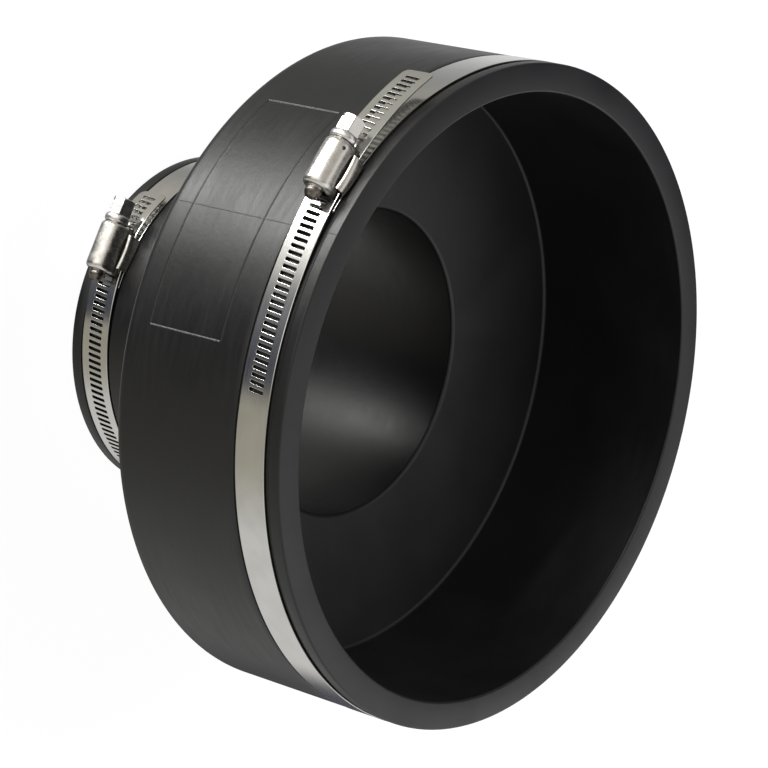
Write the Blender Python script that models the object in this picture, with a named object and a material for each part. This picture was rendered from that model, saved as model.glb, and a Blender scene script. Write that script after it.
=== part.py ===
"""Flexible reducing pipe coupling: a moulded rubber sleeve with two worm-drive hose clamps.

Units are metres, +Z up. The coupling stands on its small end: the origin is the centre of that
flat end face and +Z is the sleeve's axis, towards the large mouth.
"""
import math

import bmesh
import bpy
from mathutils import Vector

TURN = 2.0 * math.pi

# Rubber sleeve
LARGE_BORE_RADIUS = 0.1095
LARGE_WALL = 0.0103
SMALL_BORE_RADIUS = 0.05715
SMALL_WALL = 0.00685
SLEEVE_HEIGHT = 0.1524
LARGE_BODY_HEIGHT = 0.0754
STOP_DEPTH = 0.0655
STOP_DISH = 0.0040
MOUTH_EDGE_RADIUS = 0.0008
SHOULDER_RADIUS = 0.0045
NECK_FILLET_RADIUS = 0.0030
STOP_FILLET_RADIUS = 0.0015
SLEEVE_SEGMENTS = 72

# Raised border of the bare label field on the large body
PANEL_CENTRE_ANGLE = math.radians(54.4)
PANEL_SPAN_ANGLE = math.radians(44.4)
PANEL_BOTTOM = 0.0880
PANEL_HEIGHT = 0.0330
PANEL_RIB_WIDTH = 0.0009
PANEL_RIB_HEIGHT = 0.0004
PANEL_ARC_STEPS = 12

# Clamp seats in the sleeve
BAND_WIDTH = 0.0127
BAND_THICKNESS = 0.0006
SEAT_DEPTH = 0.0008
SEAT_SIDE_GAP = 0.0008
SEAT_MOUTH_GAP = 0.0018
SEAT_DRAFT = 0.0002
LARGE_BAND_FROM_MOUTH = 0.0128
SMALL_BAND_FROM_END = 0.0122

# Clearance between pieces that touch, and the wider one round the turning screw
GAP = 0.0003
SCREW_GAP = 0.0004

# Slots of the clamp strip
SLOT_PITCH = 0.0025
SLOT_LENGTH = 0.0062
SLOT_WIDTH = 0.0013
SLOT_SLANT = math.radians(6.0)
SLOT_END_REACH = 0.60
SLOT_END_FLAT = 0.45
BAND_STEP_ANGLE = math.radians(4.5)
TAIL_CORNER = 0.0022
TAIL_EDGE_MARGIN = 0.0016

# Worm screw
THREAD_RADIUS = 0.0040
THREAD_DEPTH = 0.0008
WORM_LENGTH = 0.0136
JOURNAL_RADIUS = 0.0031
TIP_LENGTH = 0.0038
TIP_RIDGE = 0.0003
TIP_END_SHARE = 0.60
THREAD_FLANK = 2.6
COLLAR_RADIUS = 0.0049
COLLAR_LENGTH = 0.0028
HEX_ACROSS_FLATS = 0.0080
HEX_LENGTH = 0.0064
HEX_CHAMFER = 0.0007
DRIVER_SLOT_WIDTH = 0.0012
DRIVER_SLOT_DEPTH = 0.0018
SCREW_SEGMENTS = 18
RINGS_PER_PITCH = 4

# Screw housing and the saddle that carries it
SHEET = 0.0006
BARREL_LENGTH = 0.0182
BARREL_CLEARANCE = 0.0006
BARREL_SHOULDER = 0.0016
FOOT_HEIGHT = 0.0006
ARCH_STEPS = 12
SADDLE_LENGTH = 0.0130
SADDLE_PLATE = 0.0005
SADDLE_CURL_RADIUS = 0.0009
SADDLE_STATIONS = 6

# Each clamp: where its housing sits, where its slots start, how its strip lifts to the screw and
# how far the end of its tail lies above the place where the strip passes under the screw
LARGE_CLAMP = {
    "name": "large",
    "housing_angle": math.radians(45.8),
    "slots_from": math.radians(37.2),
    "lift_angle": math.radians(26.0),
    "lift": 0.0024,
    "tongue_angle": math.radians(6.0),
    "tail_angle": math.radians(24.0),
    "tail_rise": 0.0037,
}
SMALL_CLAMP = {
    "name": "small",
    "housing_angle": math.radians(58.8),
    "slots_from": math.radians(81.0),
    "lift_angle": math.radians(42.0),
    "lift": 0.0023,
    "tongue_angle": math.radians(11.0),
    "tail_angle": math.radians(24.5),
    "tail_rise": -0.0004,
}

# Sizes that follow from those above
LARGE_RADIUS = LARGE_BORE_RADIUS + LARGE_WALL
SMALL_RADIUS = SMALL_BORE_RADIUS + SMALL_WALL
SHOULDER_HEIGHT = SLEEVE_HEIGHT - LARGE_BODY_HEIGHT
LARGE_BAND_HEIGHT = SLEEVE_HEIGHT - LARGE_BAND_FROM_MOUTH
SMALL_BAND_HEIGHT = SMALL_BAND_FROM_END
BARREL_INNER = THREAD_RADIUS + BARREL_CLEARANCE
BARREL_OUTER = BARREL_INNER + SHEET
SCREW_HEIGHT = THREAD_RADIUS + SCREW_GAP
BARREL_END_INNER = JOURNAL_RADIUS + SCREW_GAP
SADDLE_INNER = BAND_WIDTH / 2 + GAP
SADDLE_OUTER = SADDLE_INNER + SHEET
FOOT_TIP = BAND_WIDTH / 2
COLLAR_START = BARREL_LENGTH / 2 + GAP


def clear_scene():
    for item in list(bpy.data.objects):
        bpy.data.objects.remove(item, do_unlink=True)


def make_material(name, colour, roughness, metallic):
    material = bpy.data.materials.new(name)
    material.use_nodes = True
    shader = material.node_tree.nodes["Principled BSDF"]
    shader.inputs["Base Color"].default_value = (*colour, 1.0)
    shader.inputs["Roughness"].default_value = roughness
    shader.inputs["Metallic"].default_value = metallic
    return material


def add_object(name, bm, material, parent=None, sharp_angle=35.0):
    bmesh.ops.recalc_face_normals(bm, faces=bm.faces)
    mesh = bpy.data.meshes.new(name)
    bm.to_mesh(mesh)
    bm.free()
    mesh.shade_smooth()
    mesh.set_sharp_from_angle(angle=math.radians(sharp_angle))
    item = bpy.data.objects.new(name, mesh)
    bpy.context.scene.collection.objects.link(item)
    item.data.materials.append(material)
    item.parent = parent
    return item


def add_empty(name, location, turn):
    item = bpy.data.objects.new(name, None)
    item.location = location
    item.rotation_euler = (0.0, 0.0, turn)
    bpy.context.scene.collection.objects.link(item)
    return item


def add_cutter(name, bm, parent=None):
    mesh = bpy.data.meshes.new(name)
    bmesh.ops.recalc_face_normals(bm, faces=bm.faces)
    bm.to_mesh(mesh)
    bm.free()
    item = bpy.data.objects.new(name, mesh)
    item.display_type = "WIRE"
    item.hide_render = True
    item.parent = parent
    bpy.context.scene.collection.objects.link(item)
    return item


def add_boolean(item, other, operation):
    modifier = item.modifiers.new(other.name, "BOOLEAN")
    modifier.operation = operation
    modifier.object = other
    modifier.solver = "EXACT"


def skin_sections(bm, sections, closed_path=False):
    """Joins equal closed sections, given as lists of points, into one tube of quads."""
    rings = [[bm.verts.new(point) for point in section] for section in sections]
    count = len(rings[0])
    pairs = list(zip(rings, rings[1:]))
    if closed_path:
        pairs.append((rings[-1], rings[0]))
    else:
        bm.faces.new(rings[0])
        bm.faces.new(rings[-1])
    for ring, following in pairs:
        for i in range(count):
            j = (i + 1) % count
            bm.faces.new((ring[i], ring[j], following[j], following[i]))
    return rings


def arc(centre_r, centre_z, radius, start, end, steps):
    """Points (r, z) on an arc, with angles in degrees."""
    points = []
    for i in range(steps + 1):
        angle = math.radians(start + (end - start) * i / steps)
        points.append((centre_r + radius * math.cos(angle), centre_z + radius * math.sin(angle)))
    return points


def seat_profile(surface_radius, height, high_gap, going_up):
    """The clamp seat: a shallow groove with slightly drafted sides."""
    floor = surface_radius - SEAT_DEPTH
    low = height - BAND_WIDTH / 2 - SEAT_SIDE_GAP
    high = height + BAND_WIDTH / 2 + high_gap
    points = [
        (surface_radius, low),
        (floor, low + SEAT_DRAFT),
        (floor, high - SEAT_DRAFT),
        (surface_radius, high),
    ]
    return points if going_up else points[::-1]


def sleeve_profile():
    edge = MOUTH_EDGE_RADIUS
    stop_height = SLEEVE_HEIGHT - STOP_DEPTH
    stop_inner_height = stop_height - STOP_DISH
    fillet = STOP_FILLET_RADIUS
    shoulder = SHOULDER_RADIUS
    neck = NECK_FILLET_RADIUS
    profile = []
    profile += arc(SMALL_BORE_RADIUS + edge, edge, edge, 270, 180, 1)
    profile += arc(SMALL_BORE_RADIUS + fillet, stop_inner_height - fillet, fillet, 180, 90, 2)
    profile += arc(LARGE_BORE_RADIUS - fillet, stop_height + fillet, fillet, 270, 360, 2)
    profile += arc(LARGE_BORE_RADIUS + edge, SLEEVE_HEIGHT - edge, edge, 180, 90, 1)
    profile += arc(LARGE_RADIUS - edge, SLEEVE_HEIGHT - edge, edge, 90, 0, 1)
    profile += seat_profile(LARGE_RADIUS, LARGE_BAND_HEIGHT, SEAT_MOUTH_GAP, going_up=False)
    profile += arc(LARGE_RADIUS - shoulder, SHOULDER_HEIGHT + shoulder, shoulder, 0, -90, 4)
    profile += arc(SMALL_RADIUS + neck, SHOULDER_HEIGHT - neck, neck, 90, 180, 2)
    profile += seat_profile(SMALL_RADIUS, SMALL_BAND_HEIGHT, SEAT_SIDE_GAP, going_up=False)
    profile += arc(SMALL_RADIUS - edge, edge, edge, 0, -90, 1)
    return profile


def revolve(profile, segments):
    """Turns a closed (r, z) profile all the way round the Z axis."""
    bm = bmesh.new()
    sections = []
    for i in range(segments):
        angle = TURN * i / segments
        cosine = math.cos(angle)
        sine = math.sin(angle)
        sections.append([(r * cosine, r * sine, z) for r, z in profile])
    skin_sections(bm, sections, closed_path=True)
    return bm


def panel_rib():
    """A raised border, rooted in the wall and mitred at its four corners."""
    low_radius = LARGE_RADIUS - SEAT_DEPTH
    high_radius = LARGE_RADIUS + PANEL_RIB_HEIGHT
    half_angle = PANEL_SPAN_ANGLE / 2
    half_height = PANEL_HEIGHT / 2
    centre_height = PANEL_BOTTOM + half_height
    rib_angle = PANEL_RIB_WIDTH / LARGE_RADIUS

    def loop(inset_angle, inset_height, radius):
        side = half_angle - inset_angle
        rise = half_height - inset_height
        route = [(-side + 2 * side * i / PANEL_ARC_STEPS, -rise) for i in range(PANEL_ARC_STEPS + 1)]
        route += [(-angle, -height) for angle, height in route]
        points = []
        for angle, height in route:
            turn = PANEL_CENTRE_ANGLE + angle
            points.append((radius * math.cos(turn), radius * math.sin(turn), centre_height + height))
        return points

    loops = [
        loop(0.0, 0.0, low_radius),
        loop(0.0, 0.0, high_radius),
        loop(rib_angle, PANEL_RIB_WIDTH, high_radius),
        loop(rib_angle, PANEL_RIB_WIDTH, low_radius),
    ]
    bm = bmesh.new()
    skin_sections(bm, [list(section) for section in zip(*loops)], closed_path=True)
    return bm


def make_sleeve(material):
    sleeve = add_object("rubber_sleeve", revolve(sleeve_profile(), SLEEVE_SEGMENTS), material)
    rib = add_cutter("panel_rib_tool", panel_rib())
    add_boolean(sleeve, rib, "UNION")
    return sleeve


class Strip:
    """The clamp's strip, seen along Z: its height over the angle from the housing's centre.

    The angle is positive on the side of the screw's tip. The strip starts with its tongue under
    the housing, goes once round the sleeve the other way, and comes back over its own tongue.
    """

    def __init__(self, clamp, sleeve_radius):
        self.inner = sleeve_radius - SEAT_DEPTH + GAP
        self.lift_angle = clamp["lift_angle"]
        self.lift = clamp["lift"]
        self.start = clamp["tongue_angle"]
        self.slots_from = clamp["slots_from"]
        self.tail_angle = clamp["tail_angle"]
        self.tail_rise = clamp["tail_rise"]
        self.pass_radius = self.inner + self.lift
        self.slope = 2.0 * self.lift / self.lift_angle

    def lapped_radius(self, angle):
        """Inner face of the lap that leaves the sleeve, runs under the screw and ends in the tail."""
        if angle >= self.lift_angle:
            return self.inner
        if angle >= 0.0:
            return self.inner + self.lift * (1.0 - angle / self.lift_angle) ** 2
        straight_rise = self.slope * self.tail_angle
        bend = (straight_rise - self.tail_rise) * (angle / self.tail_angle) ** 2
        return self.pass_radius - self.slope * angle - bend

    def tilt(self):
        """Angle at which the lap passes under the screw, against the circle's tangent."""
        return math.atan2(self.slope, self.pass_radius + BAND_THICKNESS)

    def point(self, angle, on_lap, face, height):
        radius = self.lapped_radius(angle) if on_lap else self.inner
        radius += face * BAND_THICKNESS
        return (radius * math.cos(angle), radius * math.sin(angle), height)


def slot_outline():
    """Slot with round ends, as (along, across) offsets from its middle, slanted like the thread."""
    half_length = SLOT_LENGTH / 2
    half_width = SLOT_WIDTH / 2
    square = half_length - half_width * SLOT_END_REACH
    flat = half_width * SLOT_END_FLAT
    outline = [
        (half_width, -square),
        (half_width, square),
        (flat, half_length),
        (-flat, half_length),
        (-half_width, square),
        (-half_width, -square),
        (-flat, -half_length),
        (flat, -half_length),
    ]
    slant = math.tan(SLOT_SLANT)
    return [(along - across * slant, across) for along, across in outline]


def make_band(name, strip, material, parent):
    """One strip of sheet: plain stations round the sleeve, then cells with one slot each."""
    bm = bmesh.new()
    half = BAND_WIDTH / 2
    plain_span = strip.start + TURN - strip.slots_from
    plain_steps = max(8, round(plain_span / BAND_STEP_ANGLE))
    plain_angles = [strip.start - plain_span * i / plain_steps for i in range(plain_steps + 1)]

    def station(angle, on_lap):
        return [bm.verts.new(strip.point(angle, on_lap, face, height))
                for face, height in ((0, -half), (0, half), (1, half), (1, -half))]

    def wall(first, second):
        for i in range(4):
            j = (i + 1) % 4
            bm.faces.new((first[i], first[j], second[j], second[i]))

    current = station(plain_angles[0], False)
    bm.faces.new(current)
    for angle in plain_angles[1:]:
        following = station(angle, False)
        wall(current, following)
        current = following

    cell_angle = SLOT_PITCH / (strip.pass_radius + BAND_THICKNESS)
    slotted_span = strip.slots_from + strip.tail_angle - TAIL_EDGE_MARGIN / strip.pass_radius
    cells = int(slotted_span / cell_angle)
    outline = slot_outline()

    def slotted_cell(first, middle, second):
        holes = []
        for face in (0, 1):
            holes.append([bm.verts.new(strip.point(middle - along / strip.pass_radius, True, face, across))
                          for along, across in outline])
        for corners, hole in (((first[0], first[1], second[1], second[0]), holes[0]),
                              ((first[3], first[2], second[2], second[3]), holes[1])):
            start_low, start_high, end_high, end_low = corners
            bm.faces.new((start_low, start_high, hole[4], hole[5]))
            bm.faces.new((end_low, end_high, hole[1], hole[0]))
            bm.faces.new((start_high, end_high, hole[1], hole[2], hole[3], hole[4]))
            bm.faces.new((start_low, end_low, hole[0], hole[7], hole[6], hole[5]))
        bm.faces.new((first[0], first[3], second[3], second[0]))
        bm.faces.new((first[1], first[2], second[2], second[1]))
        for i in range(len(outline)):
            j = (i + 1) % len(outline)
            bm.faces.new((holes[0][i], holes[0][j], holes[1][j], holes[1][i]))

    for i in range(cells):
        start = strip.slots_from - i * cell_angle
        following = station(start - cell_angle, True)
        slotted_cell(current, start - cell_angle / 2, following)
        current = following

    shoulder_angle = strip.slots_from - cells * cell_angle
    tail = [bm.verts.new(strip.point(-strip.tail_angle, True, face, height))
            for face, height in ((0, TAIL_CORNER - half), (0, half - TAIL_CORNER),
                                 (1, half - TAIL_CORNER), (1, TAIL_CORNER - half))]
    corner_angle = TAIL_CORNER / strip.pass_radius - strip.tail_angle
    if corner_angle < shoulder_angle:
        following = station(corner_angle, True)
        wall(current, following)
        current = following
    wall(current, tail)
    bm.faces.new(tail)
    return add_object(name, bm, material, parent)


def housing_section(arch_outer):
    """Stamped housing across the screw, as (x, z): an arch on two legs with turned-out feet."""
    arch_inner = arch_outer - SHEET
    foot_low = FOOT_HEIGHT
    foot_high = FOOT_HEIGHT + SHEET
    outer = [(foot_low, FOOT_TIP), (foot_high, FOOT_TIP), (foot_high, arch_outer)]
    inner = [(foot_low, arch_inner)]
    for i in range(ARCH_STEPS + 1):
        angle = math.pi / 2 - math.pi * i / ARCH_STEPS
        cosine = math.cos(angle)
        sine = math.sin(angle)
        outer.append((SCREW_HEIGHT + arch_outer * cosine, arch_outer * sine))
        inner.append((SCREW_HEIGHT + arch_inner * cosine, arch_inner * sine))
    outer += [(foot_high, -arch_outer), (foot_high, -FOOT_TIP), (foot_low, -FOOT_TIP)]
    inner.append((foot_low, -arch_inner))
    return outer + inner[::-1]


def make_housing(name, strip, material, parent):
    half = BARREL_LENGTH / 2
    end_outer = BARREL_END_INNER + SHEET
    drop = BARREL_OUTER - end_outer
    stations = []
    for share in (0.0, 0.3, 0.7, 1.0):
        along = half - BARREL_SHOULDER * (1.0 - share)
        stations.append((along, BARREL_OUTER - drop * (1.0 - math.sqrt(1.0 - share ** 2))))
    stations = [(-along, outer) for along, outer in stations[::-1]] + stations
    bm = bmesh.new()
    sections = []
    for along, outer in stations:
        sections.append([(x, along, z) for x, z in housing_section(outer)])
    skin_sections(bm, sections)
    housing = add_object(name, bm, material, parent)
    housing.location = (strip.pass_radius + BAND_THICKNESS, 0.0, 0.0)
    housing.rotation_euler = (0.0, 0.0, strip.tilt())
    return housing


def saddle_section(plate_low, curl_low):
    """Saddle across the strip, as (x, z): a plate whose sides curl over the housing's feet."""
    plate_high = plate_low + SADDLE_PLATE
    curl_high = curl_low + SHEET
    bend = SADDLE_CURL_RADIUS
    curl_tip = BARREL_OUTER + GAP
    side = [(plate_low, SADDLE_OUTER)]
    for i in range(4):
        angle = math.pi / 2 * i / 3
        side.append((curl_high - bend + bend * math.sin(angle),
                     SADDLE_OUTER - bend + bend * math.cos(angle)))
    side += [
        (curl_high, curl_tip),
        (curl_low, curl_tip),
        (curl_low, SADDLE_INNER),
        (plate_high, SADDLE_INNER),
    ]
    return side + [(x, -z) for x, z in side[::-1]]


def make_saddle(name, strip, material, parent):
    plate_radius = strip.inner + BAND_THICKNESS + GAP
    tilt = strip.tilt()
    foot_clear = FOOT_HEIGHT + SHEET + GAP
    bm = bmesh.new()
    sections = []
    for i in range(SADDLE_STATIONS + 1):
        along = SADDLE_LENGTH * (i / SADDLE_STATIONS - 0.5)
        plate_low = math.sqrt(plate_radius ** 2 - along ** 2)
        curl_low = strip.pass_radius + BAND_THICKNESS + foot_clear / math.cos(tilt) - along * math.tan(tilt)
        sections.append([(x, along, z) for x, z in saddle_section(plate_low, curl_low)])
    skin_sections(bm, sections)
    return add_object(name, bm, material, parent)


def hex_radius(angle):
    """Distance to a hexagon's side in the direction of an angle."""
    sixth = TURN / 6
    offset = (angle % sixth) - sixth / 2
    return HEX_ACROSS_FLATS / 2 / math.cos(offset)


def screw_rings():
    """Rings along the screw, each as (place, radius of a circle or None for the hexagon, ridge)."""
    worm_half = WORM_LENGTH / 2
    head_start = -(COLLAR_START + COLLAR_LENGTH)
    head_end = head_start - HEX_LENGTH
    root = THREAD_RADIUS - THREAD_DEPTH
    chamfer = HEX_CHAMFER
    rings = [
        (head_end, HEX_ACROSS_FLATS / 2 - chamfer / 2, 0.0),
        (head_end + chamfer, None, 0.0),
        (head_start - GAP, None, 0.0),
        (head_start, COLLAR_RADIUS - chamfer, 0.0),
        (head_start + chamfer, COLLAR_RADIUS, 0.0),
        (-COLLAR_START - chamfer, COLLAR_RADIUS, 0.0),
        (-COLLAR_START, COLLAR_RADIUS - chamfer, 0.0),
        (-COLLAR_START, JOURNAL_RADIUS, 0.0),
        (-worm_half - GAP, JOURNAL_RADIUS, 0.0),
    ]
    worm_count = round(WORM_LENGTH / SLOT_PITCH * RINGS_PER_PITCH)
    for i in range(worm_count + 1):
        rings.append((-worm_half + WORM_LENGTH * i / worm_count, root, THREAD_DEPTH))
    rings.append((worm_half + GAP, JOURNAL_RADIUS, 0.0))
    tip_start = BARREL_LENGTH / 2
    tip_end = tip_start + TIP_LENGTH
    rings.append((tip_start, JOURNAL_RADIUS - TIP_RIDGE, 0.0))
    tip_count = round(TIP_LENGTH / SLOT_PITCH * RINGS_PER_PITCH)
    for i in range(1, tip_count):
        share = i / tip_count
        radius = (JOURNAL_RADIUS - TIP_RIDGE) * math.sqrt(1.0 - TIP_END_SHARE * share ** 2)
        rings.append((tip_start + TIP_LENGTH * share, radius, TIP_RIDGE))
    rings.append((tip_end, JOURNAL_RADIUS / 2, 0.0))
    return rings


def make_screw(name, strip, material, parent):
    """Slotted hex-head worm screw along its own Z, with its head at the negative end."""
    bm = bmesh.new()
    sections = []
    for place, radius, ridge in screw_rings():
        section = []
        for i in range(SCREW_SEGMENTS):
            angle = TURN * i / SCREW_SEGMENTS
            phase = (place / SLOT_PITCH - i / SCREW_SEGMENTS) % 1.0
            size = hex_radius(angle) if radius is None else radius
            size += ridge * min(1.0, THREAD_FLANK * (0.5 - abs(phase - 0.5)))
            section.append((size * math.cos(angle), size * math.sin(angle), place))
        sections.append(section)
    skin_sections(bm, sections)
    screw = add_object(name, bm, material, parent)
    tilt = strip.tilt()
    screw.location = (
        strip.pass_radius + BAND_THICKNESS + SCREW_HEIGHT * math.cos(tilt),
        SCREW_HEIGHT * math.sin(tilt),
        0.0,
    )
    screw.rotation_euler = (-math.pi / 2, 0.0, tilt)
    head_end = -(COLLAR_START + COLLAR_LENGTH + HEX_LENGTH)
    slot = bmesh.new()
    bmesh.ops.create_cube(slot, size=1.0)
    bmesh.ops.scale(slot, verts=slot.verts,
                    vec=(2.0 * HEX_ACROSS_FLATS, DRIVER_SLOT_WIDTH, 2.0 * DRIVER_SLOT_DEPTH))
    bmesh.ops.translate(slot, verts=slot.verts, vec=Vector((0.0, 0.0, head_end)))
    add_boolean(screw, add_cutter(name + "_driver_slot", slot, parent=screw), "DIFFERENCE")
    return screw


def make_clamp(clamp, sleeve_radius, height, steel, screw_steel):
    name = clamp["name"]
    strip = Strip(clamp, sleeve_radius)
    axis = add_empty(name + "_clamp_axis", (0.0, 0.0, height), clamp["housing_angle"])
    make_band(name + "_band", strip, steel, axis)
    make_saddle(name + "_saddle", strip, steel, axis)
    make_housing(name + "_housing", strip, steel, axis)
    make_screw(name + "_screw", strip, screw_steel, axis)


def main():
    clear_scene()
    rubber = make_material("black_rubber", (0.035, 0.036, 0.038), 0.48, 0.0)
    steel = make_material("stainless_steel", (0.62, 0.61, 0.58), 0.28, 1.0)
    screw_steel = make_material("bright_screw_steel", (0.70, 0.69, 0.68), 0.22, 1.0)
    make_sleeve(rubber)
    make_clamp(LARGE_CLAMP, LARGE_RADIUS, LARGE_BAND_HEIGHT, steel, screw_steel)
    make_clamp(SMALL_CLAMP, SMALL_RADIUS, SMALL_BAND_HEIGHT, steel, screw_steel)


main()
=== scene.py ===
"""Looks of the flexible reducing pipe coupling.

A moulded rubber sleeve and its two worm-drive clamps, as fine meshes with procedural finishes
that stand in for the plain solids of the frame. Units are metres, +Z runs up the sleeve's axis.
"""
import math

import bmesh
import bpy
from mathutils import Matrix, Vector


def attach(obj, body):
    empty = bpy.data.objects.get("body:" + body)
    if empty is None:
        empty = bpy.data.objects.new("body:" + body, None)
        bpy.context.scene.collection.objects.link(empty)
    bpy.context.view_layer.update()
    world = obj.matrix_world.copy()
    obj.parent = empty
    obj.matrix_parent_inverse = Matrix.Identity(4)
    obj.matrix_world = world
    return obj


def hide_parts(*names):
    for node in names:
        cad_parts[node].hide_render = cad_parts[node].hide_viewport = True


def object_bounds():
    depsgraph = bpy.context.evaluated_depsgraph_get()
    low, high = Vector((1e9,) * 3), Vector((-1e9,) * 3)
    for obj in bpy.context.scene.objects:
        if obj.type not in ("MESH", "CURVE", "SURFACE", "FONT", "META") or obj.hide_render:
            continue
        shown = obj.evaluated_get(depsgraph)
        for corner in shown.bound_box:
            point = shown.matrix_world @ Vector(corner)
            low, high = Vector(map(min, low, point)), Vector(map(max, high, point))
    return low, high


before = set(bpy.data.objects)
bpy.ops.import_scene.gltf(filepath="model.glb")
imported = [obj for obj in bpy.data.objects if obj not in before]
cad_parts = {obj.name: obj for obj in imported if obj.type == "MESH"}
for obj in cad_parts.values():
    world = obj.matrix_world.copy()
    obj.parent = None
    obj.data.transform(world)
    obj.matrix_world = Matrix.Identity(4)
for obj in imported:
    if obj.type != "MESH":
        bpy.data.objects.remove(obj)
CAD_BOX = [list(corner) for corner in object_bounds()]

TURN = 2.0 * math.pi
MM = 0.001

# Rubber sleeve
LARGE_BORE_RADIUS = 0.1095
LARGE_RADIUS = 0.1198
SMALL_BORE_RADIUS = 0.05715
SMALL_RADIUS = 0.0640
SLEEVE_HEIGHT = CAD_BOX[1][2]
SHOULDER_HEIGHT = 0.0770
STOP_HEIGHT = 0.0869
STOP_DISH = 0.0040
EDGE_RADIUS = 0.0008
SHOULDER_RADIUS = 0.0045
NECK_RADIUS = 0.0030
STOP_FILLET = 0.0015
SLEEVE_STEPS = 300
WALL_STEP = 0.0022

# Fine lines of the moulding: the label field's border and the two parting lines
PANEL_CENTRE = math.radians(54.4)
PANEL_SPAN = math.radians(44.4)
PANEL_BOTTOM = 0.0880
PANEL_HEIGHT = 0.0330
PANEL_CORNER = 0.0008
RIB_WIDTH = 0.0009
RIB_HEIGHT = 0.00024
PARTING_ANGLES = (math.radians(55.5), math.radians(235.5))
PARTING_WIDTH = 0.0005
PARTING_HEIGHT = 0.00005
LINE_OFFSETS = (0.0, 0.12 * MM, 0.25 * MM, 0.38 * MM, 0.52 * MM, 0.75 * MM, 1.1 * MM)
LINE_REACH = 1.6 * MM

# Clamp strip and its seats
BAND_WIDTH = 0.0127
BAND_THICKNESS = 0.0006
SEAT_DEPTH = 0.0008
SEAT_SIDE_GAP = 0.0008
SEAT_MOUTH_GAP = 0.0018
SEAT_EDGE = 0.00025
COLLAR_CROWN = 0.0006
GAP = 0.0003
SLOT_PITCH = 0.0025
SLOT_LENGTH = 0.0062
SLOT_WIDTH = 0.0013
SLOT_CORNER = 0.0004
SLOT_SLANT = math.tan(math.radians(6.0))
# Loops down through a slot, as (depth, how far the slot is grown), and the first on its cut wall
SLOT_ROLL = ((0.0, 0.18 * MM), (0.0, 0.11 * MM), (0.012 * MM, 0.05 * MM), (0.04 * MM, 0.0),
             (0.16 * MM, 0.0), (0.57 * MM, 0.0), (0.60 * MM, 0.04 * MM))
SLOT_WALL = 4
PLAIN_STEP = math.radians(1.2)
TAIL_CORNER = 0.0022
TAIL_MARGIN = 0.0016

# Screw, housing and saddle
THREAD_RADIUS = 0.0040
THREAD_DEPTH = 0.0008
WORM_LENGTH = 0.0136
JOURNAL_RADIUS = 0.0031
TIP_LENGTH = 0.0038
TIP_RIDGE = 0.0003
COLLAR_RADIUS = 0.0049
COLLAR_LENGTH = 0.0028
COLLAR_ROUNDING = 0.0009
HEX_ACROSS_FLATS = 0.0080
HEX_LENGTH = 0.0064
HEX_CHAMFER = 0.0007
HEX_TURN = math.radians(-19.0)
DRIVER_SLOT_WIDTH = 0.0012
DRIVER_SLOT_DEPTH = 0.0018
SCREW_GAP = 0.0004
SHEET = 0.0006
BARREL_LENGTH = 0.0182
BARREL_OUTER = 0.0052
BARREL_NECK = 0.0038
BARREL_SHOULDER = 0.0020
FOOT_HEIGHT = 0.0006
FOOT_TIP = 0.00595
FOOT_BEND = 0.0002
# Height up the housing's legs over which their painted shade fades out
SHADE_RISE = 0.0016
HOUSING_EDGE = 0.00012
NOTCH_RADIUS = 0.0007
NOTCH_DEPTH = 0.0030
NOTCH_FROM_END = 0.0030
NOTCH_LEAN = math.radians(62.0)
SADDLE_LENGTH = 0.0130
SADDLE_PLATE = 0.0005
SADDLE_CURL_DROP = 0.0034
CURL_FULLNESS = 0.8
CURL_STEPS = 12
WING_BULGE = 0.0005
WING_HOLLOW = 0.0007
SADDLE_EDGE = 0.00010
SCREW_HEIGHT = THREAD_RADIUS + SCREW_GAP
COLLAR_START = BARREL_LENGTH / 2 + GAP

CLAMPS = {
    "large": {
        "radius": LARGE_RADIUS, "height": 0.1396, "housing": 45.8, "slots_from": 37.2,
        "lift_angle": 26.0, "lift": 0.0024, "tongue": 6.0, "tail": 24.0, "tail_rise": 0.0037,
    },
    "small": {
        "radius": SMALL_RADIUS, "height": 0.0122, "housing": 58.8, "slots_from": 81.0,
        "lift_angle": 42.0, "lift": 0.0023, "tongue": 11.0, "tail": 24.5, "tail_rise": -0.0004,
    },
}

# Camera of the photograph, fitted to the rims
CAMERA_PLACE = Vector((0.23288, 0.83241, 0.76507))
CAMERA_FORWARD = Vector((-0.21759, -0.76124, -0.61088)).normalized()
CAMERA_UP = Vector((0.97296, -0.11946, -0.19769)).normalized()
CAMERA_RIGHT = CAMERA_FORWARD.cross(CAMERA_UP).normalized()
FOCAL_PIXELS = 3000.0
IMAGE_PIXELS = 768.0
SENSOR = 36.0

# Studio
KEY_DIRECTION = CAMERA_RIGHT * -0.47 + CAMERA_UP * 0.77 + CAMERA_FORWARD * -0.43
OVERHEAD_DIRECTION = Vector((0.42, -0.25, 1.0))
FLOOR_HALF = 6.0
FLOOR_DROP = 0.00005
FLOOR_SHADE = 0.18
FLOOR_GLOW = 0.97


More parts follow.
